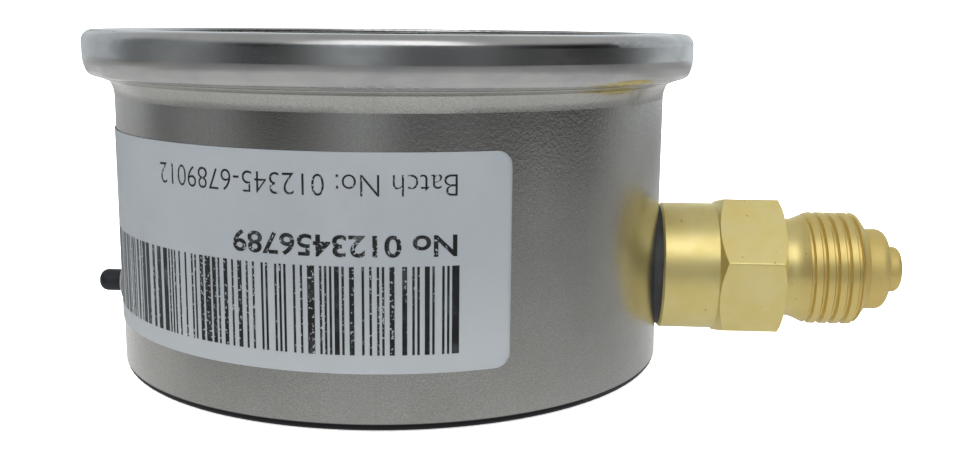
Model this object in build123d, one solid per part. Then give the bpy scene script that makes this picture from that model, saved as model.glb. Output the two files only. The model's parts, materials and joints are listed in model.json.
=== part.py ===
"""Bourdon-tube pressure gauge, nominal size 63, with a radial G 1/4 B process connection.

Millimetres. The origin is the centre of the case's flat back, +Z points out of the dial and +X runs
along the process connection, so the dial reads upright with -X at the top and +Y on its right.
"""
from build123d import *
from math import atan2, cos, degrees, hypot, pi, radians, sin, sqrt, tan
import os

# Case
case_r = 31.4
sheet = 0.8
flare_z = 31.2
flare_r = 31.85
flare_top_z = 32.15
flange_step_z = 32.5
flange_under_z = 33.0
base_corner_r = 0.95
flare_round = 3.0
flange_step_r = 32.7
flange_r = 33.8
flange_top_z = 33.55

# Bezel ring, window and gasket
ring_r = 34.6
ring_top_z = 37.66
ring_sheet = 0.6
ring_lip_r = 29.5
ring_curl_r = 32.95
ring_curl_z = 32.6
window_r = 32.1
window_t = 2.7
gasket_seat_t = 0.75

# Process connection, along +X
stem_z = 10.53
shank_r = 5.5
collar_r = 7.4
collar_x = 31.65
hex_x = 38.0
hex_end_x = 45.5
hex_af = 15.2
hex_clocking = 13.2
hex_chamfer = 30.0
hex_edge_round = 0.3
relief_r = 5.7
thread_x = 47.0
thread_end_x = 55.4
thread_r = 6.578
thread_pitch = 1.337
thread_depth = 0.42
thread_lead_in = 1.9
thread_lead_in_round = 1.6
neck_round = 3.0
thread_phase = 180.0
step_r = 4.72
step_end_x = 58.0
step_round = 1.1
spigot_r = 2.66
spigot_round = 0.7
tip_x = 59.75
bore_r = 1.3
block_w = 13.0
block_x0 = 13.0
block_x1 = 27.5
block_z0 = 6.5
block_z1 = 14.0
groove_x0 = 28.7
groove_w = 0.9
groove_r = 4.6

# Bourdon tube
tube_r = 22.5
tube_h = 6.4
tube_t = 2.6
tube_wall = 0.35
tube_start = -13.0
tube_end = -308.0
tip_end = -317.0
tip_pin = (15.5, 14.5)
pin_r = 0.45

# Movement
plate_t = 1.0
back_plate_z = 14.0
front_plate_z = 20.0
module = 0.3
pinion_teeth = 12
gear_ratio = 6.5
pointer_sweep = 270.0
arbor_r = 0.6
pivot_r = 0.4
running_gap = 0.04
tail_len = 4.5
sector_z = 17.0
sector_t = 0.8
link_z = 17.95
link_t = 0.5
link_hole_shift = -0.1375
pillars = [(-6.0, 5.5), (-6.0, -5.5), (21.5, 5.2), (21.5, -5.2)]
dial_posts = [(7.0, 9.6), (7.0, -9.6)]

# Movement mounting screws
mounting_x = 17.5
mounting_ys = [5.0, -5.0]

# Dial and pointer
dial_z = 27.4
dial_t = 0.6
dial_r = 29.6
pointer_z = 29.3
pointer_t = 0.4
pointer_len = 21.0
pointer_tail = 7.5
zero_angle = -45.0

# Pointer stop pin and hairspring, in polar form: radius and angle from +X
stop_r = 13.0
stop_angle = -39.4
stud_place_r = 5.4
stud_angle = 100.0
spring_z = 19.0
spring_h = 0.5
spring_strip = 0.14
spring_turns = 4.0
collet_r = 1.15

# Fill plug and label
plug_z = 7.08
plug_flange_r = 5.5
plug_flange_h = 1.9
plug_hole_r = 3.5
nipple_r = 1.33
nipple_round = 1.0
nipple_x = -36.4
label_t = 0.12
label_z0 = 5.9
label_z1 = 27.0
label_right = 28.4
label_left = -78.0

# Worked out from the above
sector_teeth = gear_ratio * pinion_teeth
pinion_pitch_r = module * pinion_teeth / 2
sector_pitch_r = module * sector_teeth / 2
sector_x = pinion_pitch_r + sector_pitch_r
sector_sweep = pointer_sweep / gear_ratio
tooth_pitch = pi * module
tail_angle = -sector_sweep / 2
tail_x = sector_x + tail_len * cos(radians(tail_angle))
tail_y = tail_len * sin(radians(tail_angle))
inner_r = case_r - sheet
front_plate_top = front_plate_z + plate_t
back_plate_top = back_plate_z + plate_t
stop_xy = (stop_r * cos(radians(stop_angle)), stop_r * sin(radians(stop_angle)))
stud_xy = (stud_place_r * cos(radians(stud_angle)), stud_place_r * sin(radians(stud_angle)))

FROM_BELOW = (Align.CENTER, Align.CENTER, Align.MIN)


def rod(r, z0, z1, x=0.0, y=0.0):
    """Upright cylinder from z0 to z1."""
    return Pos(x, y, z0) * Cylinder(r, z1 - z0, align=FROM_BELOW)


def stem_rod(r, x0, x1, z=stem_z, y=0.0):
    """Cylinder along X from x0 to x1."""
    return Pos(x0, y, z) * Rot(0, 90, 0) * Cylinder(r, x1 - x0, align=FROM_BELOW)


def slab(x0, x1, y0, y1, z0, z1):
    """Box between two corners."""
    return Pos(x0, y0, z0) * Box(x1 - x0, y1 - y0, z1 - z0, align=Align.MIN)


def turned(points, radii):
    """Solid of revolution about Z from (radius, height) corners, each with its own rounding."""
    outline = FilletPolyline(*points, radius=radii, close=True)
    return revolve(Plane.XZ * make_face(outline), Axis.Z)


def polar(r, angle, z=0.0):
    """Point at a radius and an angle in degrees from +X."""
    return (r * cos(radians(angle)), r * sin(radians(angle)), z)


def slotted_screw(head_r, head_h, shank_r, length, x, y, z):
    """Cheese-head screw, pointing down, with its head's underside at z."""
    body = rod(head_r, z, z + head_h, x, y) + rod(shank_r, z - length, z, x, y)
    body = chamfer(body.edges().filter_by(GeomType.CIRCLE).sort_by(Axis.Z)[-1], head_h * 0.2)
    slot = Pos(x, y, z + head_h) * Box(head_r * 2.4, head_r * 0.3, head_h * 0.8)
    return body - slot


def make_case():
    """Drawn cup with a rolled flange, a hole for the socket and one for the fill plug."""
    inner_corner = base_corner_r - sheet * 0.75
    outer = [
        (0, 0), (case_r, 0), (case_r, flare_z), (flare_r, flare_top_z), (flange_step_r, flange_step_z),
        (flange_step_r, flange_under_z), (flange_r, flange_under_z), (flange_r, flange_top_z),
        (inner_r + 0.7, flange_top_z), (inner_r, flange_top_z - 1.2), (inner_r, sheet), (0, sheet),
    ]
    radii = [0, base_corner_r, flare_round, 0.5, 0.12, 0.12, 0.1, 0.1, 0.5, 0.9, inner_corner, 0]
    cup = turned(outer, radii)
    cup -= stem_rod(shank_r + 0.1, case_r - 4, case_r + 4)
    cup -= stem_rod(plug_hole_r, -case_r - 4, -case_r + 6, plug_z)
    return cup


def make_ring():
    """Crimped bezel: a lip over the window, a straight side and a lip curled under the flange."""
    side_inner = ring_r - ring_sheet
    points = [
        (ring_curl_r, ring_curl_z), (34.1, ring_curl_z + 0.35), (ring_r, 34.2), (ring_r, ring_top_z),
        (ring_lip_r, ring_top_z), (ring_lip_r, ring_top_z - ring_sheet),
        (side_inner, ring_top_z - ring_sheet), (side_inner, 34.2), (33.88, 33.0),
        (ring_curl_r, flange_under_z - 0.05),
    ]
    radii = [0.12, 0.9, 4.0, 1.19, 0.28, 0.1, 0.6, 0.3, 0.1, 0.1]
    return turned(points, radii)


def make_gasket():
    """L-section rubber ring that seats and centres the window."""
    top = ring_top_z - ring_sheet - 0.05
    seat = flange_top_z + gasket_seat_t
    points = [
        (30.6, flange_top_z), (33.75, flange_top_z), (33.75, top), (window_r, top), (window_r, seat),
        (30.6, seat),
    ]
    return turned(points, [0.15, 0.2, 0.6, 0.15, 0, 0.15])


def make_window():
    """Flat laminated glass disc with ground edges."""
    z0 = flange_top_z + gasket_seat_t
    disc = rod(window_r, z0, z0 + window_t)
    return chamfer(disc.edges().filter_by(GeomType.CIRCLE), 0.25)


def hex_body():
    """Wrench hexagon, chamfered at both ends."""
    corner_r = hex_af / sqrt(3)
    flats = RegularPolygon(corner_r, 6, rotation=90 - hex_clocking)
    flats = fillet(flats.vertices(), hex_edge_round)
    prism = Pos(hex_x, 0, stem_z) * Rot(0, 90, 0) * extrude(flats, hex_end_x - hex_x)
    length = hex_end_x - hex_x
    envelope_r = corner_r + 0.05
    slope = tan(radians(hex_chamfer))
    flat_r = hex_af / 2 + 0.1
    envelope = [
        (0, 0), (collar_r, 0), (envelope_r, (envelope_r - collar_r) * slope),
        (envelope_r, length - (envelope_r - flat_r) * slope), (flat_r, length), (0, length),
    ]
    cone = revolve(Plane.XZ * make_face(Polyline(*envelope, close=True)), Axis.Z)
    return prism & (Pos(hex_x, 0, stem_z) * Rot(0, 90, 0) * cone)


def threaded_end():
    """Relief neck and parallel pipe thread, its helical groove cut one turn at a time."""
    root_r = thread_r - thread_depth
    length = thread_end_x - thread_x
    neck = thread_x - hex_end_x + 0.05
    body = turned(
        [(0, -neck), (relief_r, -neck), (relief_r, 0), (thread_r, thread_lead_in),
         (thread_r, length - 1.1), (step_r + 0.3, length), (0, length)],
        [0, 0, neck_round, thread_lead_in_round, 0.9, 0, 0])
    half_root = thread_pitch / 12
    cutter_depth = thread_depth + 0.15
    half_mouth = half_root + cutter_depth * tan(radians(27.5))
    cutter = Plane.XZ * Pos(root_r, 0) * make_face(Polyline(
        (0, -half_root), (cutter_depth, -half_mouth), (cutter_depth, half_mouth), (0, half_root),
        close=True))
    groove = sweep(cutter, path=Helix(thread_pitch, thread_pitch, root_r), is_frenet=True)
    for turn in range(-1, int(length / thread_pitch) + 2):
        body -= Pos(0, 0, turn * thread_pitch) * Rot(0, 0, thread_phase) * groove
    whole = body.solids().sort_by(SortBy.VOLUME)[-1]
    return Pos(thread_x, 0, stem_z) * Rot(0, 90, 0) * whole


def tube_section(wall_in, grow=0.0):
    """Flat-oval section of the tube, shrunk by wall_in or grown by grow, at angle 0."""
    height = tube_h - 2 * wall_in + 2 * grow
    width = tube_t - 2 * wall_in + 2 * grow
    oval = Rot(0, 0, 90) * SlotOverall(height, width)
    return Plane.XZ * Pos(tube_r, stem_z) * oval


def tube_arc(start, end, wall_in=0.0, grow=0.0):
    """Curved solid of the tube's section between two angles, going clockwise."""
    section = Rot(0, 0, start) * tube_section(wall_in, grow)
    return revolve(section, Axis(origin=(0, 0, 0), direction=(0, 0, -1)), start - end)


def make_tube():
    """Thin-walled C-shaped Bourdon tube."""
    return tube_arc(tube_start, tube_end) - tube_arc(tube_start + 1, tube_end - 1, tube_wall)


def make_stem():
    """One-piece brass socket: block, shank, collar, hexagon, thread, step and sealing spigot."""
    half = block_w / 2
    block = slab(block_x0, block_x1, -half, half, block_z0, block_z1)
    block = chamfer(block.edges().filter_by(Axis.X), 0.4)
    shank = stem_rod(shank_r, block_x1 - 1, collar_x + 1)
    shank -= stem_rod(shank_r + 1, groove_x0, groove_x0 + groove_w)
    shank += stem_rod(groove_r, groove_x0 - 0.1, groove_x0 + groove_w + 0.1)
    collar = stem_rod(collar_r, collar_x, hex_x + 0.05)
    collar = chamfer(collar.edges().filter_by(GeomType.CIRCLE).sort_by(Axis.X)[0], 0.25)
    step = stem_rod(step_r, thread_end_x - 0.05, step_end_x)
    step = fillet(step.edges().filter_by(GeomType.CIRCLE).sort_by(Axis.X)[-1], step_round)
    spigot = stem_rod(spigot_r, step_end_x - 0.05, tip_x)
    spigot = fillet(spigot.edges().filter_by(GeomType.CIRCLE).sort_by(Axis.X)[-1], spigot_round)
    stem = block + shank + collar + hex_body() + threaded_end() + step + spigot
    stem -= stem_rod(bore_r, 21.0, tip_x + 1)
    stem -= Pos(21.9, -half + 1.2, stem_z) * Rot(90, 0, 0) * Cylinder(1.0, half * 2 - 2.6)
    stem -= tube_arc(tube_start, tube_start - 12)
    for y in mounting_ys:
        stem -= rod(0.9, block_z1 - 4, block_z1 + 1, mounting_x, y)
    return stem


def make_stem_gasket():
    """Moulded rubber ring between the case wall and the collar."""
    ring = stem_rod(collar_r - 0.4, case_r - 2, collar_x) - stem_rod(shank_r + 0.02, 20, 40)
    return ring - rod(case_r, 0, 40)


def make_stem_clip():
    """Open spring clip that holds the socket from inside the case."""
    x0 = groove_x0 + 0.05
    clip = stem_rod(7.3, x0, x0 + groove_w - 0.1) - stem_rod(groove_r + 0.05, x0 - 1, x0 + 2)
    mouth = slab(x0 - 1, x0 + 2, -groove_r * 0.85, groove_r * 0.85, stem_z, stem_z + 9)
    return clip - mouth


def make_restrictor():
    """Slotted throttle screw in the pressure bore."""
    plug = stem_rod(bore_r - 0.03, 53.0, 56.5) - stem_rod(0.25, 52, 58)
    return plug - slab(55.9, 57, -0.2, 0.2, stem_z - 2, stem_z + 2)


def make_tip_block():
    """End piece that closes the tube and carries the pin for the link."""
    inner = tube_r - tube_t / 2 - 0.7
    outer = tube_r + tube_t / 2 + 0.7
    z0 = stem_z - tube_h / 2 - 0.6
    z1 = stem_z + tube_h / 2 + 0.6
    section = Plane.XZ * Pos((inner + outer) / 2, (z0 + z1) / 2) * Rectangle(outer - inner, z1 - z0)
    start = tube_end + 2.5
    down = Axis(origin=(0, 0, 0), direction=(0, 0, -1))
    body = revolve(Rot(0, 0, start) * section, down, start - tip_end)
    body -= tube_arc(tube_end + 4, tube_end - 0.2, grow=0.06)
    tab = rod(1.5, z1 - 0.3, link_z - 0.15, *tip_pin)
    tab += Pos(tip_pin[0] + 0.3, tip_pin[1] + 0.7, z1 - 0.3) * Box(2.4, 2.6, 1.2, align=FROM_BELOW)
    return body + tab


def make_tip_pin():
    """Shouldered pin that the link's outer eye runs on."""
    x, y = tip_pin
    return rod(pin_r, link_z - 0.15, link_z + link_t + 0.1, x, y) + rod(
        0.9, link_z + link_t + 0.1, link_z + link_t + 0.5, x, y)


def plate(z, holes):
    """Movement plate with rounded ends; holes are (x, y, r)."""
    outline = [(-8.3, 8.0), (9.0, 11.6), (24.0, 7.6), (24.0, -7.6), (9.0, -11.6), (-8.3, -8.0)]
    face = make_face(FilletPolyline(*outline, radius=2.0, close=True))
    body = Pos(0, 0, z) * extrude(face, plate_t)
    for x, y, r in holes:
        body -= rod(r, z - 1, z + plate_t + 1, x, y)
    return body


def make_back_plate():
    """Lower movement plate, screwed to the socket's block."""
    pivots = [(0, 0, pivot_r + running_gap), (sector_x, 0, pivot_r + running_gap)]
    screws = [(mounting_x, y, 1.0) for y in mounting_ys]
    pillar_holes = [(x, y, 0.8) for x, y in pillars]
    return plate(back_plate_z, pivots + screws + pillar_holes)


def make_front_plate():
    """Upper movement plate, which carries the dial posts and the hairspring stud."""
    pivots = [(0, 0, arbor_r + running_gap), (sector_x, 0, pivot_r + running_gap)]
    pillar_holes = [(x, y, 0.85) for x, y in pillars]
    post_holes = [(x, y, 0.8) for x, y in dial_posts]
    access = [(mounting_x, y, 1.9) for y in mounting_ys]
    return plate(front_plate_z, pivots + pillar_holes + post_holes + access + [(*stud_xy, 0.6)])


def make_pillar(x, y):
    """Spacer between the plates, riveted below and tapped above."""
    body = rod(1.4, back_plate_top, front_plate_z, x, y) + rod(0.8, back_plate_z, back_plate_top, x, y)
    return body - rod(0.75, front_plate_z - 2.5, front_plate_z + 1, x, y)


def make_plate_screws():
    """Screws that close the movement."""
    return [slotted_screw(1.4, 0.8, 0.7, 3.0, x, y, front_plate_top) for x, y in pillars]


def make_mounting_screws():
    """Screws that hold the movement on the socket."""
    return [slotted_screw(1.6, 0.9, 0.85, 4.0, mounting_x, y, back_plate_top) for y in mounting_ys]


def make_dial_post(x, y):
    """Distance post under the dial."""
    body = rod(1.5, front_plate_top, dial_z, x, y) + rod(0.75, front_plate_z, front_plate_top, x, y)
    return body - rod(0.75, dial_z - 3.5, dial_z + 1, x, y)


def make_dial_screws():
    """Screws through the dial into its posts."""
    return [slotted_screw(1.5, 0.7, 0.7, 3.2, x, y, dial_z + dial_t) for x, y in dial_posts]


def make_dial():
    """Thin aluminium dial plate with its centre and screw holes."""
    body = rod(dial_r, dial_z, dial_z + dial_t) - rod(2.6, dial_z - 1, dial_z + 2)
    for x, y in dial_posts:
        body -= rod(0.8, dial_z - 1, dial_z + 2, x, y)
    return body - rod(0.5, dial_z - 1, dial_z + 2, *stop_xy)


def make_stop_pin():
    """Pin on the dial that the pointer rests against at zero."""
    return rod(0.48, dial_z, pointer_z + pointer_t + 0.8, *stop_xy)


def tooth(pitch_r, side_up, side_down):
    """Outline of one tooth on +X: narrow tip, straight flanks, root sunk into its blank."""
    root = pitch_r - 1.35 * module
    tip = pitch_r + 0.8 * module
    half_root = 0.27 * tooth_pitch
    half_tip = 0.11 * tooth_pitch
    points = [(root, -half_root), (tip, -half_tip), (tip, half_tip), (root, half_root)]
    return extrude(Pos(0, 0, side_down) * make_face(Polyline(*points, close=True)), side_up - side_down)


def make_pinion():
    """Pointer arbor with its pinion, lower pivot and tapered top."""
    z0 = sector_z - 0.5
    z1 = sector_z + sector_t + 0.5
    root_r = pinion_pitch_r - 1.2 * module
    body = rod(root_r, z0, z1) + rod(pivot_r, back_plate_z, z0) + rod(0.9, back_plate_top + 0.1, z0)
    body += rod(arbor_r, z1, pointer_z + 1.5)
    for i in range(pinion_teeth):
        body += Rot(0, 0, i * 360 / pinion_teeth) * tooth(pinion_pitch_r, z1, z0)
    return body


def make_sector():
    """Toothed sector with its spoked arm and the tail for the link."""
    z0 = sector_z
    z1 = sector_z + sector_t
    tooth_angle = 360 / sector_teeth
    count = round(sector_sweep / tooth_angle) + 4
    middle = 180 - sector_sweep / 2
    root_r = sector_pitch_r - 1.2 * module
    half_span = (count / 2) * tooth_angle
    wedge = [polar(30, -half_span)[:2], (0, 0), polar(30, half_span)[:2], (36, 0)]
    rim = rod(root_r, z0, z1) - rod(root_r - 1.7, z0 - 1, z1 + 1)
    rim &= Pos(0, 0, z0) * extrude(make_face(Polyline(*wedge, close=True)), sector_t)
    body = rim + rod(2.0, z0, z1)
    for angle in (-half_span + 6, 0, half_span - 6):
        body += Rot(0, 0, angle) * slab(0, root_r - 1, -0.6, 0.6, z0, z1)
    body = Rot(0, 0, middle) * body
    first = 180 + tooth_angle / 2 + tooth_angle
    for i in range(count):
        body += Rot(0, 0, first - i * tooth_angle) * tooth(sector_pitch_r, z1, z0)
    tail = slab(0, tail_len, -1.0, 1.0, z0, z1) + rod(1.25, z0, z1, tail_len)
    body += Rot(0, 0, tail_angle) * tail
    body = Pos(sector_x, 0, 0) * body
    return body - rod(arbor_r, 0, 30, sector_x) - rod(pin_r, 0, 30, tail_x, tail_y)


def make_sector_arbor():
    """Shaft of the sector, with a pivot at each end."""
    shoulder_z = back_plate_top + 0.1
    top_z = front_plate_z - 0.1
    body = rod(arbor_r, shoulder_z, top_z) + rod(pivot_r, back_plate_z, shoulder_z)
    body += rod(pivot_r, top_z, front_plate_top)
    body += rod(1.0, shoulder_z + 0.4, sector_z)
    return Pos(sector_x, 0, 0) * body


def make_tail_pin():
    """Shoulder screw that joins the link to the sector's tail."""
    x, y = tail_x, tail_y
    body = rod(pin_r, sector_z - 0.2, link_z + link_t + 0.1, x, y)
    return body + rod(0.85, link_z + link_t + 0.1, link_z + link_t + 0.6, x, y)


def make_link():
    """Flat connecting link with an eye at each end."""
    far = (tip_pin[0] + link_hole_shift, tip_pin[1])
    length = hypot(far[0] - tail_x, far[1] - tail_y)
    angle = degrees(atan2(far[1] - tail_y, far[0] - tail_x))
    bar = rod(1.15, link_z, link_z + link_t) + rod(1.25, link_z, link_z + link_t, length)
    bar += slab(0, length, -0.6, 0.6, link_z, link_z + link_t)
    bar -= rod(pin_r + running_gap, 0, 30) + rod(pin_r + 0.2, 0, 30, length)
    return Pos(tail_x, tail_y, 0) * Rot(0, 0, angle) * bar


def make_collet():
    """Split brass collet that grips the hairspring's inner end."""
    body = rod(collet_r, spring_z - 0.2, spring_z + spring_h + 0.2) - rod(arbor_r, 0, 30)
    return body - slab(0, 2, -0.12, 0.12, 0, 30)


def make_hairspring():
    """Flat spiral hairspring from its collet out to its stud."""
    inner = collet_r + 0.06 + spring_strip / 2
    outer = stud_place_r
    end = radians(stud_angle)
    edges = []
    steps = 96
    for side in (-0.5, 0.5):
        points = []
        for i in range(steps + 1):
            share = i / steps
            r = inner + (outer - inner) * share ** 1.15 + side * spring_strip
            a = end - 2 * pi * spring_turns * (1 - share)
            points.append((r * cos(a), r * sin(a)))
        edges.append(Spline(*points))
    caps = [Line(edges[0] @ 0, edges[1] @ 0), Line(edges[0] @ 1, edges[1] @ 1)]
    face = make_face([edges[0], edges[1], *caps])
    return Pos(0, 0, spring_z) * extrude(face, spring_h) - rod(0.55, 0, 30, *stud_xy)


def make_stud():
    """Stud on the front plate that clamps the hairspring's outer end."""
    return rod(0.55, spring_z - 0.3, front_plate_top + 0.3, *stud_xy)


def make_pointer():
    """Balanced pointer: slim blade, wider tail and a raised bush."""
    blade = [(0, -1.1), (pointer_len * 0.55, -0.75), (pointer_len, -0.12), (pointer_len, 0.12),
             (pointer_len * 0.55, 0.75), (0, 1.1)]
    tail = [(0, -1.0), (-pointer_tail, -1.7), (-pointer_tail, 1.7), (0, 1.0)]
    face = make_face(Polyline(*blade, close=True)) + make_face(Polyline(*tail, close=True))
    body = Pos(0, 0, pointer_z) * extrude(face, pointer_t) + rod(2.4, pointer_z, pointer_z + pointer_t)
    return Rot(0, 0, zero_angle) * (body - rod(1.3, pointer_z - 1, pointer_z + 1))


def make_pointer_hub():
    """Brass bush riveted in the pointer and pressed on the arbor."""
    body = rod(1.3, pointer_z - 0.7, pointer_z + pointer_t) + rod(
        1.9, pointer_z + pointer_t, pointer_z + pointer_t + 0.9)
    top = body.edges().filter_by(GeomType.CIRCLE).sort_by(Axis.Z)[-1]
    return chamfer(top, 0.25) - rod(arbor_r, pointer_z - 2, pointer_z + 5)


def make_fill_plug():
    """Rubber filling and vent plug: domed flange, neck, inner bead and a nipple."""
    dome_r = (plug_flange_r ** 2 + plug_flange_h ** 2) / (2 * plug_flange_h)
    ball = Pos(-case_r - plug_flange_h + dome_r, 0, plug_z) * Sphere(dome_r)
    flange = ball & stem_rod(plug_flange_r, -case_r - plug_flange_h - 1, -case_r + 1, plug_z)
    flange -= rod(case_r, -5, 40)
    neck = stem_rod(plug_hole_r - 0.02, -case_r - 0.5, -inner_r + 1.6, plug_z)
    bead = stem_rod(plug_hole_r + 0.8, -inner_r + 0.6, -inner_r + 1.9, plug_z)
    bead = chamfer(bead.edges().filter_by(GeomType.CIRCLE).sort_by(Axis.X)[-1], 0.6)
    nipple = stem_rod(nipple_r, nipple_x, -case_r - 1, plug_z)
    nipple = fillet(nipple.edges().filter_by(GeomType.CIRCLE).sort_by(Axis.X)[0], nipple_round)
    return flange + neck + bead + nipple


def make_label():
    """Paper label stuck on the front of the case wall."""
    r0 = case_r + 0.01
    middle_z = (label_z0 + label_z1) / 2
    strip = Plane.XZ * Pos(r0 + label_t / 2, middle_z) * Rectangle(label_t, label_z1 - label_z0)
    span = label_right - label_left
    start = -90 + label_left
    sheet_body = revolve(Rot(0, 0, start) * strip, Axis.Z, span)
    return sheet_body


def solids_of(items):
    """Several equal pieces as one node of separate solids."""
    return Compound(children=list(items))


def build():
    """Every sub-part, by its node name."""
    return {
        "case": make_case(),
        "bezel_ring": make_ring(),
        "window_gasket": make_gasket(),
        "window": make_window(),
        "stem": make_stem(),
        "stem_gasket": make_stem_gasket(),
        "stem_clip": make_stem_clip(),
        "restrictor_screw": make_restrictor(),
        "bourdon_tube": make_tube(),
        "tube_end_piece": make_tip_block(),
        "tube_end_pin": make_tip_pin(),
        "movement_back_plate": make_back_plate(),
        "movement_front_plate": make_front_plate(),
        "movement_pillars": solids_of(make_pillar(x, y) for x, y in pillars),
        "movement_screws": solids_of(make_plate_screws()),
        "mounting_screws": solids_of(make_mounting_screws()),
        "pinion_arbor": make_pinion(),
        "sector_gear": make_sector(),
        "sector_arbor": make_sector_arbor(),
        "sector_tail_pin": make_tail_pin(),
        "connecting_link": make_link(),
        "hairspring": make_hairspring(),
        "hairspring_collet": make_collet(),
        "hairspring_stud": make_stud(),
        "dial": make_dial(),
        "dial_posts": solids_of(make_dial_post(x, y) for x, y in dial_posts),
        "dial_screws": solids_of(make_dial_screws()),
        "pointer_stop_pin": make_stop_pin(),
        "pointer": make_pointer(),
        "pointer_hub": make_pointer_hub(),
        "fill_plug": make_fill_plug(),
        "label": make_label(),
    }


os.makedirs("parts", exist_ok=True)
for node, shape in build().items():
    export_step(shape, f"parts/{node}.step")
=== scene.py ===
import json
import math
import random

import bmesh
import bpy
from mathutils import Matrix, Vector


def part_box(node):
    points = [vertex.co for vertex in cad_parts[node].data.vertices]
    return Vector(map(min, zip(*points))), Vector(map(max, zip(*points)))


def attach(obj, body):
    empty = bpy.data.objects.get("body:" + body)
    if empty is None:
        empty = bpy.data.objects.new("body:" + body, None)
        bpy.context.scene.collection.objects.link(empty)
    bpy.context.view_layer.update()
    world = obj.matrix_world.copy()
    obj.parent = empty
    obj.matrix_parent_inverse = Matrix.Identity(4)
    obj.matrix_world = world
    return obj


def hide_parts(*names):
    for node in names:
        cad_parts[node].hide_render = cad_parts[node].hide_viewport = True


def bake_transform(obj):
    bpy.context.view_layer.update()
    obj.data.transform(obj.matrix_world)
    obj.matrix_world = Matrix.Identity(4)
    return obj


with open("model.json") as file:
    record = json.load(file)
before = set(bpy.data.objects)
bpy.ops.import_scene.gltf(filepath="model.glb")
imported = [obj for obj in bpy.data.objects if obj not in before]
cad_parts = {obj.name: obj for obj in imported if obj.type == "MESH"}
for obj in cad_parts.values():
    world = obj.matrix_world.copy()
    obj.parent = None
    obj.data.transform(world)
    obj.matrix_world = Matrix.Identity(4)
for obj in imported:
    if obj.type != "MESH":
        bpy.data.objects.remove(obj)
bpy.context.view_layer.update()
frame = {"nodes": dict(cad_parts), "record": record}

MM = 0.001

# The gauge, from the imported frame
ROOT = "housing"
mounts = {mount["name"]: mount for mount in frame["record"]["mounts"]}
STEM_Z = mounts["process_connection"]["pos_m"][2]
label_low, label_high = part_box("label")
plug_low, plug_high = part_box("fill_plug")
WALL_R = 31.4 * MM
PLUG_Z = (plug_low[2] + plug_high[2]) / 2
DIAL_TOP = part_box("dial")[1][2]


# ---------------------------------------------------------------- node helpers

class Shader:
    """A Principled material with short calls for the nodes that the looks use."""

    def __init__(self, name, **settings):
        self.material = bpy.data.materials.new(name)
        self.material.use_nodes = True
        self.tree = self.material.node_tree
        self.surface = self.tree.nodes["Principled BSDF"]
        self.point = self.node("ShaderNodeTexCoord").outputs["Object"]
        for socket, value in settings.items():
            self.surface.inputs[socket.replace("_", " ")].default_value = value

    def node(self, kind, **inputs):
        made = self.tree.nodes.new(kind)
        for key, value in inputs.items():
            self.feed(made.inputs[key.replace("_", " ")], value)
        return made

    def feed(self, socket, value):
        if isinstance(value, bpy.types.NodeSocket):
            self.tree.links.new(value, socket)
        else:
            socket.default_value = value

    def math(self, operation, a, b=0.0, clamp=False):
        made = self.tree.nodes.new("ShaderNodeMath")
        made.operation = operation
        made.use_clamp = clamp
        self.feed(made.inputs[0], a)
        self.feed(made.inputs[1], b)
        return made.outputs[0]

    def split(self, vector=None):
        made = self.node("ShaderNodeSeparateXYZ", Vector=vector or self.point)
        return made.outputs["X"], made.outputs["Y"], made.outputs["Z"]

    def join(self, x, y, z):
        made = self.tree.nodes.new("ShaderNodeCombineXYZ")
        for socket, value in zip(made.inputs, (x, y, z)):
            self.feed(socket, value)
        return made.outputs[0]

    def length(self, a, b):
        squares = self.math("ADD", self.math("MULTIPLY", a, a), self.math("MULTIPLY", b, b))
        return self.math("SQRT", squares)

    def noise(self, size, vector=None, stretch=(1, 1, 1), detail=3.0, roughness=0.55):
        """Noise whose blobs are about size metres, stretched along each axis."""
        mapping = self.tree.nodes.new("ShaderNodeMapping")
        self.feed(mapping.inputs["Vector"], vector or self.point)
        mapping.inputs["Scale"].default_value = [1 / (size * s) for s in stretch]
        made = self.node("ShaderNodeTexNoise", Vector=mapping.outputs[0], Scale=1.0, Detail=detail,
                         Roughness=roughness)
        return made.outputs["Fac"]

    def remap(self, value, low, high, to_low=0.0, to_high=1.0):
        made = self.node("ShaderNodeMapRange")
        made.interpolation_type = "SMOOTHSTEP"
        for key, item in (("Value", value), ("From Min", low), ("From Max", high), ("To Min", to_low),
                          ("To Max", to_high)):
            self.feed(made.inputs[key], item)
        return made.outputs["Result"]

    def mix(self, factor, a, b):
        """Colour a to colour b by factor."""
        made = self.tree.nodes.new("ShaderNodeMix")
        made.data_type = "RGBA"
        self.feed(made.inputs[0], factor)
        self.feed(made.inputs[6], a)
        self.feed(made.inputs[7], b)
        return made.outputs[2]

    def blend(self, factor, a, b):
        """Number a to number b by factor."""
        made = self.tree.nodes.new("ShaderNodeMix")
        made.data_type = "FLOAT"
        self.feed(made.inputs[0], factor)
        self.feed(made.inputs[2], a)
        self.feed(made.inputs[3], b)
        return made.outputs[0]

    def bump(self, *layers):
        """Stack of (height, depth in metres) bumps on the surface's normal."""
        normal = None
        for height, depth in layers:
            made = self.node("ShaderNodeBump", Height=height, Strength=1.0, Distance=depth)
            if normal is not None:
                self.feed(made.inputs["Normal"], normal)
            normal = made.outputs["Normal"]
        self.feed(self.surface.inputs["Normal"], normal)

    def set(self, **inputs):
        for key, value in inputs.items():
            self.feed(self.surface.inputs[key.replace("_", " ")], value)
        return self.material


def grey(level, tint=(1.0, 1.0, 1.0)):
    return (level * tint[0], level * tint[1], level * tint[2], 1.0)


# ---------------------------------------------------------------- materials

STAIN_ANGLE = math.radians(60)
STAIN_Z = 32.3 * MM
# Heights of the painted shade band at the bottom edge: the contact shadow reflected in the rounded corner,
# painted dark.
CONTACT_SHADE_LOW = 0.78 * MM
CONTACT_SHADE_HIGH = 0.98 * MM


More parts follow.
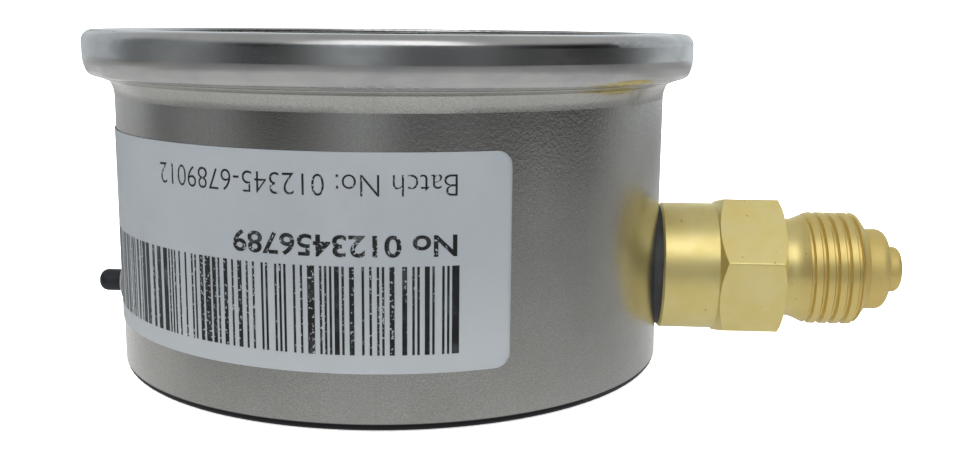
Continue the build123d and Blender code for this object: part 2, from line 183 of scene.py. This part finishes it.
def case_steel():
    """Satin drawn stainless: fine grain, faint draw lines, orange peel near the rim, and a painted shade band
    along the bottom edge.
    """
    s = Shader("case_steel", Metallic=1.0)
    x, y, z = s.split()
    radius = s.length(x, y)
    around = s.join(s.math("DIVIDE", x, radius), s.math("DIVIDE", y, radius), 0.0)
    streaks = s.noise(0.010, around, detail=5.0)
    cloud = s.noise(9 * MM, detail=4.0)
    grain = s.noise(0.16 * MM, detail=2.0, roughness=0.7)
    peel = s.noise(0.34 * MM, detail=2.0, roughness=0.5)
    colour = s.mix(s.remap(cloud, 0.35, 0.65), (0.60, 0.60, 0.57, 1), (0.66, 0.66, 0.63, 1))
    colour = s.mix(s.remap(grain, 0.3, 0.7, 0.0, 0.50), colour, (0.46, 0.46, 0.44, 1))
    colour = s.mix(s.math("MULTIPLY", s.remap(streaks, 0.5, 0.8), 0.25), colour, (0.50, 0.49, 0.47, 1))
    stain_at = Vector((math.sin(STAIN_ANGLE), -math.cos(STAIN_ANGLE), 0)) * (WALL_R + 0.6 * MM)
    offset = s.node("ShaderNodeVectorMath")
    offset.operation = "DISTANCE"
    s.feed(offset.inputs[0], s.point)
    offset.inputs[1].default_value = (stain_at.x, stain_at.y, STAIN_Z)
    near = s.remap(offset.outputs["Value"], 0.3 * MM, 3.4 * MM, 1.0, 0.0)
    stain = s.math("MULTIPLY", near, s.remap(s.noise(1.6 * MM), 0.35, 0.65, 0.25, 0.75))
    colour = s.mix(stain, colour, (0.33, 0.31, 0.255, 1))
    # Painted shade: below about 0.8 mm the steel turns near black and rough, standing for the contact shadow
    # that the rounded bottom corner reflects.
    contact_shade = s.remap(z, CONTACT_SHADE_LOW, CONTACT_SHADE_HIGH, 1.0, 0.0)
    colour = s.mix(contact_shade, colour, (0.028, 0.030, 0.034, 1))
    rough = s.blend(s.remap(grain, 0.3, 0.7), 0.19, 0.27)
    rough = s.blend(contact_shade, rough, 0.55)
    high = s.math("MULTIPLY", s.remap(z, 18 * MM, 29 * MM), s.remap(x, -4 * MM, 12 * MM))
    s.bump((s.math("MULTIPLY", peel, high), 0.019 * MM), (grain, 0.010 * MM))
    return s.set(Base_Color=colour, Roughness=rough)


def ring_steel():
    """Polished stainless bezel with faint turning lines, fingerprints and soft smears."""
    s = Shader("ring_steel", Metallic=1.0)
    x, y, z = s.split()
    lines = s.noise(0.05 * MM, s.join(s.length(x, y), 0.0, z), detail=3.0)
    smear = s.noise(6 * MM, stretch=(1, 1, 0.4), detail=5.0)
    colour = s.mix(s.remap(smear, 0.4, 0.7), (0.66, 0.66, 0.65, 1), (0.58, 0.585, 0.59, 1))
    rough = s.math("ADD", s.remap(smear, 0.35, 0.7, 0.16, 0.24), s.remap(lines, 0.3, 0.7, 0.0, 0.05))
    s.bump((lines, 0.0012 * MM), (s.noise(1.6 * MM, detail=1.0), 0.006 * MM))
    return s.set(Base_Color=colour, Roughness=rough)


def turned_brass():
    """Machined brass: turning rings about the stem's axis, small specks, handling marks, and painted shade
    that darkens it from the thread to the tip.
    """
    s = Shader("turned_brass", Metallic=0.9)
    x, y, z = s.split()
    radius = s.length(y, s.math("SUBTRACT", z, STEM_Z))
    rings = s.noise(0.09 * MM, s.join(x, radius, 0.0), detail=3.0)
    cloud = s.noise(3.0 * MM, detail=4.0)
    specks = s.remap(s.noise(0.5 * MM, detail=1.0), 0.76, 0.80)
    colour = s.mix(s.remap(cloud, 0.3, 0.7), (0.80, 0.685, 0.31, 1), (0.78, 0.645, 0.255, 1))
    # Painted shade: the brass turns darker from the thread onwards, dimming the lamp's highlight on thread,
    # step and spigot.
    wear_and_painted_shade = s.remap(x, 46.5 * MM, 48.5 * MM)
    tip = s.remap(x, 54.0 * MM, 56.0 * MM)
    colour = s.mix(s.math("MULTIPLY", wear_and_painted_shade, 0.6), colour, (0.70, 0.53, 0.18, 1))
    colour = s.mix(s.math("MULTIPLY", specks, 0.6), colour, (0.20, 0.14, 0.05, 1))
    rough = s.math("ADD", s.remap(cloud, 0.3, 0.7, 0.31, 0.37), s.remap(rings, 0.3, 0.7, 0.0, 0.06))
    rough = s.math("ADD", rough, s.math("MULTIPLY", tip, 0.20))
    s.bump((rings, 0.002 * MM), (s.noise(1.2 * MM, detail=1.0), 0.006 * MM))
    return s.set(Base_Color=colour, Roughness=rough)


def brushed_metal(name, light, dark, size=0.12 * MM, rough=0.32, stretch=(8, 1, 1)):
    """Stamped or turned metal with a directional grain and light tarnish."""
    s = Shader(name, Metallic=1.0)
    grain = s.noise(size, stretch=stretch, detail=4.0)
    cloud = s.noise(2.4 * MM, detail=4.0)
    colour = s.mix(s.remap(cloud, 0.35, 0.7), light, dark)
    s.bump((grain, 0.004 * MM))
    return s.set(Base_Color=colour, Roughness=s.remap(grain, 0.3, 0.7, rough - 0.06, rough + 0.08))


def rubber(name, dark, light):
    """Moulded rubber with a dusty bloom."""
    s = Shader(name, Metallic=0.0)
    fine = s.noise(0.08 * MM, detail=3.0)
    bloom = s.noise(1.5 * MM, detail=4.0)
    colour = s.mix(s.remap(bloom, 0.4, 0.75), dark, light)
    s.bump((fine, 0.008 * MM))
    return s.set(Base_Color=colour, Roughness=s.remap(bloom, 0.3, 0.7, 0.42, 0.6))


def glass():
    """Clear window: nearly all see-through, with a dark tint and faint smears in its gloss."""
    s = Shader("window_glass", Metallic=0.0, IOR=1.5, Alpha=0.14)
    smear = s.noise(7 * MM, detail=4.0)
    colour = s.mix(s.remap(smear, 0.3, 0.7), (0.035, 0.042, 0.042, 1), (0.050, 0.058, 0.058, 1))
    return s.set(Base_Color=colour, Roughness=s.remap(smear, 0.4, 0.8, 0.02, 0.07))


def lacquer(name, light, dark, rough=0.4):
    """Sprayed lacquer with a very fine orange peel."""
    s = Shader(name, Metallic=0.0)
    cloud = s.noise(4 * MM, detail=4.0)
    s.bump((s.noise(0.25 * MM, detail=2.0), 0.003 * MM))
    return s.set(Base_Color=s.mix(s.remap(cloud, 0.3, 0.7), light, dark),
                 Roughness=s.remap(cloud, 0.3, 0.7, rough - 0.05, rough + 0.06))


def label_paper():
    """Coated label stock: cool light grey, slight fibre mottle, and painted bounce light from the floor that
    makes it paler towards its bottom.
    """
    s = Shader("label_paper", Metallic=0.0)
    fibre = s.noise(0.12 * MM, stretch=(1, 1, 2.5), detail=4.0, roughness=0.7)
    cloud = s.noise(8 * MM, detail=3.0)
    colour = s.mix(s.remap(cloud, 0.3, 0.7), (0.136, 0.152, 0.163, 1), (0.146, 0.161, 0.172, 1))
    colour = s.mix(s.math("MULTIPLY", s.remap(fibre, 0.45, 0.75), 0.10), colour, (0.115, 0.13, 0.14, 1))
    _, _, z = s.split()
    # Painted light: the paper is lighter below 17 mm, standing for bounce light from the pale floor.
    colour = s.mix(s.remap(z, 17 * MM, 6 * MM, 0.0, 0.85), colour, (0.175, 0.190, 0.198, 1))
    s.bump((fibre, 0.004 * MM))
    return s.set(Base_Color=colour, Roughness=s.remap(cloud, 0.3, 0.7, 0.42, 0.5))


def thermal_ink():
    """Thermal print: near black, with wear flecks and patchy fading, and a painted grazing sheen that
    lightens it towards the fill plug.
    """
    s = Shader("thermal_ink", Metallic=0.0, Specular_IOR_Level=0.22)
    x, y, z = s.split()
    around = s.math("MULTIPLY", s.math("ARCTAN2", x, s.math("MULTIPLY", y, -1.0)), WALL_R)
    print_point = s.join(around, 0.0, z)
    pinholes = s.remap(s.noise(0.30 * MM, print_point, detail=1.0), 0.59, 0.64)
    columns = s.remap(s.noise(1.3 * MM, print_point, stretch=(1, 1, 14), detail=2.0), 0.44, 0.54)
    wear_and_painted_shade = s.math("MULTIPLY", pinholes, columns)
    faint = s.remap(s.noise(2.2 * MM, print_point, detail=4.0), 0.50, 0.78, 0.0, 0.5)
    # Painted reflection: towards the fill plug the ink is lightened and roughened, standing for the sheen of
    # grazing gloss there; the noise above is real patchy fading.
    faint = s.math("ADD", faint, s.remap(around, -18 * MM, -38 * MM, 0.0, 0.55), clamp=True)
    colour = s.mix(faint, (0.005, 0.0053, 0.006, 1), (0.060, 0.066, 0.070, 1))
    colour = s.mix(wear_and_painted_shade, colour, (0.145, 0.160, 0.170, 1))
    s.bump((s.noise(0.2 * MM), 0.002 * MM))
    return s.set(Base_Color=colour, Roughness=s.blend(faint, 0.36, 0.5))


def give(material, *nodes):
    for node in nodes:
        slots = frame["nodes"][node].data.materials
        slots.clear()
        slots.append(material)


def dress_cad():
    """A procedural material for every CAD node that stays."""
    give(case_steel(), "case")
    give(ring_steel(), "bezel_ring")
    give(turned_brass(), "stem")
    black = rubber("black_rubber", (0.004, 0.006, 0.009, 1), (0.010, 0.013, 0.018, 1))
    give(black, "window_gasket", "fill_plug")
    grey_rubber = rubber("grey_rubber", (0.013, 0.014, 0.014, 1), (0.027, 0.028, 0.028, 1))
    give(grey_rubber, "stem_gasket")
    give(glass(), "window")
    yellow = brushed_metal("movement_brass", (0.74, 0.58, 0.27, 1), (0.66, 0.49, 0.20, 1))
    give(yellow, "tube_end_piece", "movement_back_plate", "movement_front_plate", "movement_pillars",
         "sector_gear", "connecting_link", "hairspring_collet", "hairspring_stud", "dial_posts",
         "pointer_hub", "restrictor_screw")
    steel = brushed_metal("turned_steel", (0.56, 0.56, 0.55, 1), (0.46, 0.46, 0.46, 1), rough=0.28)
    give(steel, "stem_clip", "tube_end_pin", "movement_screws", "mounting_screws", "pinion_arbor",
         "sector_arbor", "sector_tail_pin", "dial_screws", "pointer_stop_pin")
    bronze = brushed_metal("spring_bronze", (0.62, 0.40, 0.22, 1), (0.50, 0.30, 0.15, 1), rough=0.34)
    give(bronze, "hairspring", "bourdon_tube")
    give(lacquer("dial_lacquer", (0.44, 0.44, 0.43, 1), (0.41, 0.41, 0.40, 1)), "dial")
    give(lacquer("pointer_lacquer", (0.012, 0.012, 0.012, 1), (0.02, 0.02, 0.02, 1)), "pointer")
    return bronze


# ---------------------------------------------------------------- label

LABEL_GAP = 0.03 * MM
LABEL_T = 0.10 * MM
LABEL_RIGHT = math.radians(28.4) * WALL_R
LABEL_LEFT = math.radians(-86.6) * WALL_R
LABEL_CORNER = 1.5 * MM
PLUG_U = math.radians(-90) * WALL_R
DOME_R = 5.5 * MM
DOME_H = 1.9 * MM
EDGE_LIFT = 0.06 * MM
EDGE_FADE = 2 * MM


def tent(u, z):
    """How far the label stands off the wall where it is stuck over the plug's domed flange."""
    d = math.hypot(u - PLUG_U, z - PLUG_Z)
    dome = DOME_H * max(0.0, 1 - (d / DOME_R) ** 2)
    skirt = 0.42 * DOME_H * math.exp(-((d / (DOME_R * 0.86)) ** 4))
    neck = 0.32 * MM * math.exp(-((d / (2.1 * MM)) ** 2))
    edge = EDGE_LIFT * math.exp(-max(0.0, d - DOME_R) / EDGE_FADE)
    return max(dome, skirt) + neck + edge


def on_wall(u, z, lift=0.0):
    """Point on the case wall: u is arc length from -Y towards +X, z is height."""
    angle = u / WALL_R
    r = WALL_R + LABEL_GAP + tent(u, z) + lift
    return Vector((math.sin(angle) * r, -math.cos(angle) * r, z))


def new_piece(name, vertices, faces, material, body=ROOT):
    mesh = bpy.data.meshes.new(name)
    mesh.from_pydata([tuple(v) for v in vertices], [], faces)
    mesh.update()
    mesh.materials.append(material)
    piece = bpy.data.objects.new(name, mesh)
    bpy.context.collection.objects.link(piece)
    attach(piece, body)
    return piece


def smooth(piece):
    for polygon in piece.data.polygons:
        polygon.use_smooth = True


def rounded_inset(z, low, high, corner):
    """How far a rounded corner pulls the right edge in at height z."""
    reach = min(z - low, high - z)
    if reach >= corner:
        return 0.0
    return corner - math.sqrt(max(0.0, corner ** 2 - (corner - reach) ** 2))


def corner_rows(low, high, corner, steps):
    """Heights from low to high, closer together over the rounded corners."""
    arc = [corner * (1 - math.cos(math.pi / 2 * i / steps)) for i in range(steps + 1)]
    middle = [corner + (high - low - 2 * corner) * i / 36 for i in range(1, 36)]
    rise = [low + value for value in arc + middle]
    return rise + [high - value for value in reversed(arc)]


def make_label(material):
    low = label_low[2]
    high = label_high[2]
    rows = corner_rows(low, high, LABEL_CORNER, 8)
    columns = 150
    vertices = []
    for side in (0.0, LABEL_T):
        for z in rows:
            inset = rounded_inset(z, low, high, LABEL_CORNER)
            right = LABEL_RIGHT - inset
            left = LABEL_LEFT + inset
            for i in range(columns + 1):
                vertices.append(on_wall(left + (right - left) * i / columns, z, side))
    wide = columns + 1
    layer = wide * len(rows)
    faces = []
    for j in range(len(rows) - 1):
        for i in range(columns):
            a = j * wide + i
            faces.append((a, a + wide, a + wide + 1, a + 1))
            faces.append((layer + a, layer + a + 1, layer + a + wide + 1, layer + a + wide))
    rim = [i for i in range(columns)] + [j * wide + columns for j in range(len(rows) - 1)]
    rim += [layer - 1 - i for i in range(columns)]
    rim += [(len(rows) - 1 - j) * wide for j in range(len(rows) - 1)]
    for a, b in zip(rim, rim[1:] + rim[:1]):
        faces.append((a, b, b + layer, a + layer))
    label = new_piece("printed_label", vertices, faces, material)
    smooth(label)
    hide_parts("label")


PRINT_LIFT = LABEL_T + 0.012 * MM
TEXT_RIGHT = math.radians(18.5) * WALL_R


def wrapped_text(name, text, u_start, z_base, height, width, material, weight=0.0):
    """Upside-down text on the label: it starts at u_start and runs towards -u."""
    curve = bpy.data.curves.new(name, "FONT")
    curve.body = text
    curve.offset = weight
    curve.resolution_u = 6
    maker = bpy.data.objects.new(name + "_maker", curve)
    bpy.context.collection.objects.link(maker)
    bpy.context.view_layer.update()
    flat = bpy.data.meshes.new_from_object(maker)
    bpy.data.objects.remove(maker)
    bm = bmesh.new()
    bm.from_mesh(flat)
    bmesh.ops.triangulate(bm, faces=bm.faces[:])
    bmesh.ops.subdivide_edges(bm, edges=[e for e in bm.edges if e.calc_length() > 0.25], cuts=2)
    xs = [v.co.x for v in bm.verts]
    ys = [v.co.y for v in bm.verts]
    x_scale = width / (max(xs) - min(xs))
    y_scale = height / (max(ys) - min(ys))
    for v in bm.verts:
        u = u_start - (v.co.x - min(xs)) * x_scale
        z = z_base - (v.co.y - min(ys)) * y_scale
        v.co = on_wall(u, z, PRINT_LIFT)
    bmesh.ops.triangulate(bm, faces=bm.faces[:])
    bm.to_mesh(flat)
    bm.free()
    flat.name = name
    flat.materials.clear()
    flat.materials.append(material)
    piece = bpy.data.objects.new(name, flat)
    bpy.context.collection.objects.link(piece)
    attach(piece, ROOT)
    return piece


BARCODE_MODULE = 0.235 * MM
BARCODE_LOW = 7.75 * MM
BARCODE_HIGH = 16.3 * MM
BARCODE_RIGHT = math.radians(18.9) * WALL_R
BARCODE_LEFT = LABEL_LEFT + 5.5 * MM


def make_barcode(material):
    """Generic bars of one to three modules, from the right margin round to the plug's side."""
    rng = random.Random(20)
    vertices = []
    faces = []
    rows = 14
    u = BARCODE_RIGHT
    while u > BARCODE_LEFT:
        bar = BARCODE_MODULE * rng.choice((1, 1, 1, 2, 2, 3))
        for i in range(rows + 1):
            z = BARCODE_LOW + (BARCODE_HIGH - BARCODE_LOW) * i / rows
            vertices.append(on_wall(u, z, PRINT_LIFT))
            vertices.append(on_wall(u - bar, z, PRINT_LIFT))
        base = len(vertices) - 2 * (rows + 1)
        for i in range(rows):
            a = base + 2 * i
            faces.append((a, a + 2, a + 3, a + 1))
        u -= bar + BARCODE_MODULE * rng.choice((1, 1, 2, 2, 3))
    bars = new_piece("label_barcode", vertices, faces, material)
    return bars


def build_label():
    ink = thermal_ink()
    make_label(label_paper())
    wrapped_text("label_batch_text", "Batch No: 012345-6789012", TEXT_RIGHT, 24.95 * MM, 2.05 * MM,
                 31.6 * MM, ink, weight=-0.012)
    wrapped_text("label_number_text", "No 0123456789", TEXT_RIGHT, 19.30 * MM, 2.15 * MM,
                 21.8 * MM, ink, weight=0.018)
    make_barcode(ink)


# ---------------------------------------------------------------- dial print

SCALE_R = 24.5 * MM
SCALE_START = math.radians(-45)
SCALE_SWEEP = math.radians(-270)
DIAL_PRINT_Z = DIAL_TOP + 0.02 * MM


def dial_point(r, angle, lift=0.0):
    return Vector((r * math.cos(angle), r * math.sin(angle), DIAL_PRINT_Z + lift))


def make_ticks(material):
    """Scale of ten numbered divisions with ten small ones each, and its arc."""
    vertices = []
    faces = []

    def quad(corners):
        base = len(vertices)
        vertices.extend(corners)
        faces.append(tuple(range(base, base + 4)))

    for i in range(101):
        angle = SCALE_START + SCALE_SWEEP * i / 100
        long, wide = (4.2, 0.55) if i % 10 == 0 else (2.9, 0.3) if i % 5 == 0 else (1.9, 0.18)
        half = wide * MM / 2
        inner = dial_point(SCALE_R - long * MM, angle)
        outer = dial_point(SCALE_R, angle)
        side = Vector((-math.sin(angle), math.cos(angle), 0)) * half
        quad([inner - side, outer - side, outer + side, inner + side])
    steps = 180
    for i in range(steps):
        a = SCALE_START + SCALE_SWEEP * i / steps
        b = SCALE_START + SCALE_SWEEP * (i + 1) / steps
        quad([dial_point(SCALE_R, b), dial_point(SCALE_R, a), dial_point(SCALE_R + 0.25 * MM, a),
              dial_point(SCALE_R + 0.25 * MM, b)])
    ticks = new_piece("dial_scale", vertices, faces, material)


def dial_text(name, text, centre, height, material):
    """Flat text on the dial that reads upright with -X up and +Y on the right."""
    curve = bpy.data.curves.new(name, "FONT")
    curve.body = text
    curve.size = height / 0.72
    curve.align_x = "CENTER"
    curve.align_y = "CENTER"
    maker = bpy.data.objects.new(name + "_maker", curve)
    bpy.context.collection.objects.link(maker)
    bpy.context.view_layer.update()
    flat = bpy.data.meshes.new_from_object(maker)
    bpy.data.objects.remove(maker)
    flat.transform(Matrix.Translation(centre) @ Matrix.Rotation(math.pi / 2, 4, "Z"))
    flat.name = name
    flat.materials.clear()
    flat.materials.append(material)
    piece = bpy.data.objects.new(name, flat)
    bpy.context.collection.objects.link(piece)
    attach(piece, ROOT)


def build_dial():
    ink = lacquer("dial_ink", (0.014, 0.014, 0.014, 1), (0.022, 0.022, 0.022, 1))
    make_ticks(ink)
    for i in range(0, 11, 2):
        angle = SCALE_START + SCALE_SWEEP * i / 10
        dial_text("dial_number_%02d" % i, str(i), dial_point(SCALE_R - 7.2 * MM, angle), 3.0 * MM, ink)
    dial_text("dial_unit", "bar", dial_point(9.5 * MM, 0.0), 2.2 * MM, ink)


# ---------------------------------------------------------------- Bourdon tube

def build_tube(material):
    """Copy of the curved thin-walled tube, from its socket to its free end, with the given material, standing
    in for the hidden imported one.
    """
    source = frame["nodes"]["bourdon_tube"]
    mesh = source.data.copy()
    tube = bpy.data.objects.new("curved_bourdon_tube", mesh)
    bpy.context.collection.objects.link(tube)
    mesh.materials.clear()
    mesh.materials.append(material)
    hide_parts("bourdon_tube")
    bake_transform(tube)


# ---------------------------------------------------------------- studio

CAMERA_AT = Vector((18.195, -134.112, 38.911)) * MM
CAMERA_TURN = math.radians(3.341)
CAMERA_PITCH = math.radians(10.39)
CAMERA_ROLL = math.radians(-0.5615)
FOCAL = 1138.24 / 960 * 36


def make_camera():
    data = bpy.data.cameras.new("camera")
    data.lens = FOCAL
    data.sensor_width = 36
    data.clip_start = 0.005
    data.clip_end = 20
    camera = bpy.data.objects.new("camera", data)
    bpy.context.collection.objects.link(camera)
    turn = Matrix.Rotation(CAMERA_TURN, 3, "Z")
    forward = turn @ Vector((0, math.cos(CAMERA_PITCH), -math.sin(CAMERA_PITCH)))
    up = turn @ Vector((0, math.sin(CAMERA_PITCH), math.cos(CAMERA_PITCH)))
    right = turn @ Vector((1, 0, 0))
    side = right * math.cos(CAMERA_ROLL) - up * math.sin(CAMERA_ROLL)
    top = up * math.cos(CAMERA_ROLL) + right * math.sin(CAMERA_ROLL)
    rows = Matrix((side, top, -forward)).transposed().to_4x4()
    camera.matrix_world = Matrix.Translation(CAMERA_AT) @ rows
    bpy.context.scene.camera = camera


def make_floor():
    """Pale floor that curves up into a backdrop on every side, seen by the camera but not in gloss."""
    radius = 1.6
    rise = 0.5
    drop = 0.05 * MM
    profile = [(0.0, 0.0), (radius, 0.0)]
    for i in range(1, 13):
        angle = math.pi / 2 * i / 12
        profile.append((radius + rise * math.sin(angle), rise * (1 - math.cos(angle))))
    profile.append((radius + rise, 3.0))
    sides = 96
    vertices = []
    for r, z in profile:
        for i in range(sides):
            a = 2 * math.pi * i / sides
            vertices.append((r * math.cos(a), r * math.sin(a), z - drop))
    faces = []
    for j in range(len(profile) - 1):
        for i in range(sides):
            k = (i + 1) % sides
            faces.append((j * sides + i, j * sides + k, (j + 1) * sides + k, (j + 1) * sides + i))
    mesh = bpy.data.meshes.new("floor")
    mesh.from_pydata(vertices, [], faces)
    s = Shader("pale_floor", Roughness=1.0, Specular_IOR_Level=0.0, Emission_Color=(1, 1, 1, 1),
               Emission_Strength=0.55)
    mesh.materials.append(s.set(Base_Color=s.mix(s.noise(0.2), (0.93, 0.93, 0.93, 1), (0.95, 0.95, 0.95, 1))))
    floor = bpy.data.objects.new("floor", mesh)
    bpy.context.collection.objects.link(floor)
    smooth(floor)
    floor.visible_glossy = False


# Brightness of the room by azimuth in degrees from -Y towards +X, seen only in gloss
ROOM_EYE = [(0, 0.46), (6, 0.22), (14, 0.12), (38, 0.16), (52, 0.06), (68, 0.025), (86, 0.03), (102, 0.12),
            (121, 0.56), (140, 0.62), (180, 0.80), (215, 0.65), (229, 0.52), (249, 0.51), (262, 0.20),
            (285, 0.256), (298, 0.27), (314, 0.055), (329, 0.055), (343, 0.24), (352, 0.44)]
ROOM_WALL = [(0, 0.18), (6, 0.09), (14, 0.02), (34, 0.02), (50, 0.08), (67, 0.24), (85, 0.16), (99, 0.21),
             (112, 0.34), (129, 0.32), (150, 0.34), (180, 0.6), (210, 0.50), (226, 0.42), (240, 0.36),
             (252, 0.25), (265, 0.10), (282, 0.22), (297, 0.20), (312, 0.075), (332, 0.07), (347, 0.15)]
ROOM_LOW = [(0, 0.315), (34, 0.342), (60, 0.33), (90, 0.31), (102, 0.33), (117, 0.37), (150, 0.6), (180, 0.8),
            (215, 0.8), (245, 0.55), (263, 0.48), (280, 0.33), (312, 0.30), (330, 0.315)]

# Soft lamp in that room: the azimuth of its middle, and how far to its core and to its edge, in degrees
LAMP_AZIMUTH = 6
LAMP_INNER = 18
LAMP_OUTER = 42
LAMP_LEVEL = 1.55


def room_ramp(s, turn, stops, tint=(1.0, 1.0, 1.0)):
    """Colour ramp of brightness over the turn from 0 to 1."""
    node = s.tree.nodes.new("ShaderNodeValToRGB")
    s.feed(node.inputs[0], turn)
    ramp = node.color_ramp
    ramp.interpolation = "CARDINAL"
    ramp.elements[0].position = 0.0
    ramp.elements[0].color = grey(stops[0][1], tint)
    ramp.elements[1].position = 1.0
    ramp.elements[1].color = grey(stops[0][1], tint)
    for azimuth, level in stops[1:]:
        ramp.elements.new(azimuth / 360).color = grey(level, tint)
    return node.outputs["Color"]


def make_room():
    """Large dome that stands for the room in reflections: dark in front, bright behind and above."""
    bm = bmesh.new()
    bmesh.ops.create_uvsphere(bm, u_segments=48, v_segments=32, radius=6.0)
    mesh = bpy.data.meshes.new("room")
    bm.to_mesh(mesh)
    bm.free()
    s = Shader("room_glow")
    x, y, z = s.split()
    flat = s.length(x, y)
    turn = s.math("DIVIDE", s.math("ARCTAN2", x, s.math("MULTIPLY", y, -1.0)), 2 * math.pi)
    turn = s.math("FRACT", s.math("ADD", turn, 1.0))
    slope = s.math("ARCTAN2", z, flat)
    low = room_ramp(s, turn, ROOM_LOW)
    wall = s.mix(s.remap(slope, math.radians(-13), math.radians(-5)), low, room_ramp(s, turn, ROOM_WALL))
    wall = s.mix(s.remap(slope, math.radians(-4.2), math.radians(-2.8)), wall,
                 room_ramp(s, turn, ROOM_EYE, (0.94, 1.0, 1.04)))
    wall = s.mix(s.remap(slope, math.radians(-16.5), math.radians(-20.5)), wall, grey(0.53))
    below = s.remap(slope, math.radians(-24), math.radians(-50))
    wall = s.mix(below, wall, grey(0.57))
    above = s.remap(slope, math.radians(18), math.radians(44))
    wall = s.mix(above, wall, grey(0.42))
    lamp_turn = s.math("PINGPONG", s.math("SUBTRACT", turn, LAMP_AZIMUTH / 360), 0.5)
    lamp = s.remap(lamp_turn, LAMP_INNER / 360, LAMP_OUTER / 360, 1.0, 0.0)
    lamp_rise = s.math("MULTIPLY", s.remap(slope, math.radians(19), math.radians(33)),
                       s.remap(slope, math.radians(76), math.radians(54)))
    wall = s.mix(s.math("MULTIPLY", lamp, lamp_rise), wall, grey(LAMP_LEVEL))
    glow = s.node("ShaderNodeEmission", Color=wall, Strength=1.0)
    s.tree.links.new(glow.outputs[0], s.tree.nodes["Material Output"].inputs["Surface"])
    mesh.materials.append(s.material)
    room = bpy.data.objects.new("room", mesh)
    bpy.context.collection.objects.link(room)
    for kind in ("camera", "diffuse", "transmission", "shadow", "volume_scatter"):
        setattr(room, "visible_" + kind, False)


def area_light(name, at, aim, size, power):
    data = bpy.data.lights.new(name, "AREA")
    data.shape = "DISK"
    data.size = size
    data.energy = power
    light = bpy.data.objects.new(name, data)
    bpy.context.collection.objects.link(light)
    light.location = at
    light.rotation_euler = (Vector(aim) - Vector(at)).to_track_quat("-Z", "Y").to_euler()
    light.visible_glossy = False


def make_lights():
    world = bpy.data.worlds.new("world")
    bpy.context.scene.world = world
    world.use_nodes = True
    world.node_tree.nodes["Background"].inputs["Color"].default_value = (1, 1, 1, 1)
    world.node_tree.nodes["Background"].inputs["Strength"].default_value = 1.5
    area_light("overhead", (0.0, 0.1, 0.9), (0, 0, 0), 0.9, 4.0)
    area_light("front_left", (-0.5, -0.7, 0.6), (0, 0, 0.01), 0.5, 1.0)


def make_studio():
    make_camera()
    make_floor()
    make_room()
    make_lights()
    bpy.context.scene.view_settings.view_transform = "Standard"


bronze = dress_cad()
build_tube(bronze)
build_label()
build_dial()
make_studio()
